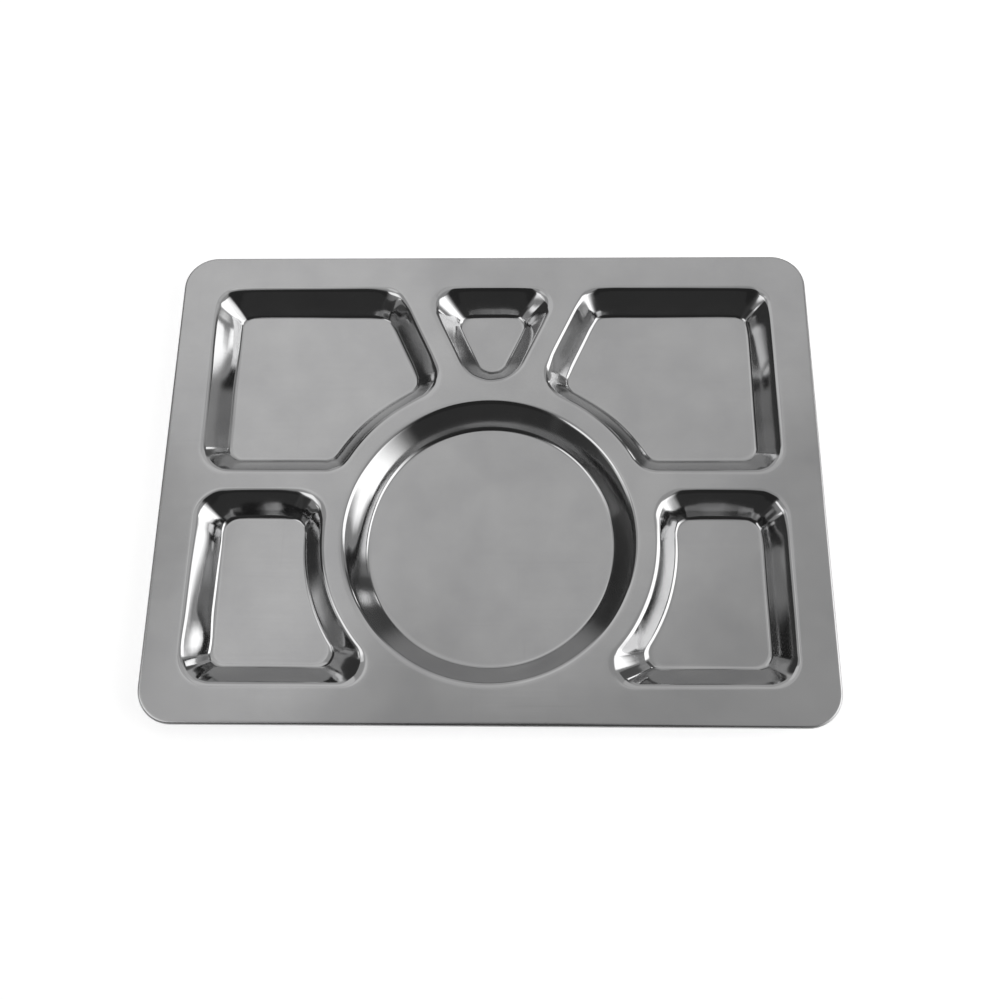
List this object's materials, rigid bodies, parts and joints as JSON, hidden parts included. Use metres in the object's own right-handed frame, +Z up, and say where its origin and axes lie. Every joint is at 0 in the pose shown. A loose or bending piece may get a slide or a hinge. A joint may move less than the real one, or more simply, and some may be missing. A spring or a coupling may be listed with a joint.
{
  "type": "divided compartment plate",
  "caption": "Rectangular pressed steel mess tray with a round main well, drawn side wells of several shapes and a rolled edge, for serving a meal in separate portions.",
  "frame": {"origin": "centre of the outline, on the plane of the well floors' undersides that the tray rests on", "axes": "+X along the length, to the diner's right; +Y away from the diner, towards the small well; +Z up out of the wells"},
  "size_m": [0.38, 0.285, 0.0156],
  "materials": {
    "stainless_sheet": "satin rolled stainless sheet, brighter and smoother on the drawn walls and bends"
  },
  "bodies": {
    "root": {"pressed_tray": "stainless_sheet"}
  },
  "joints": []
}
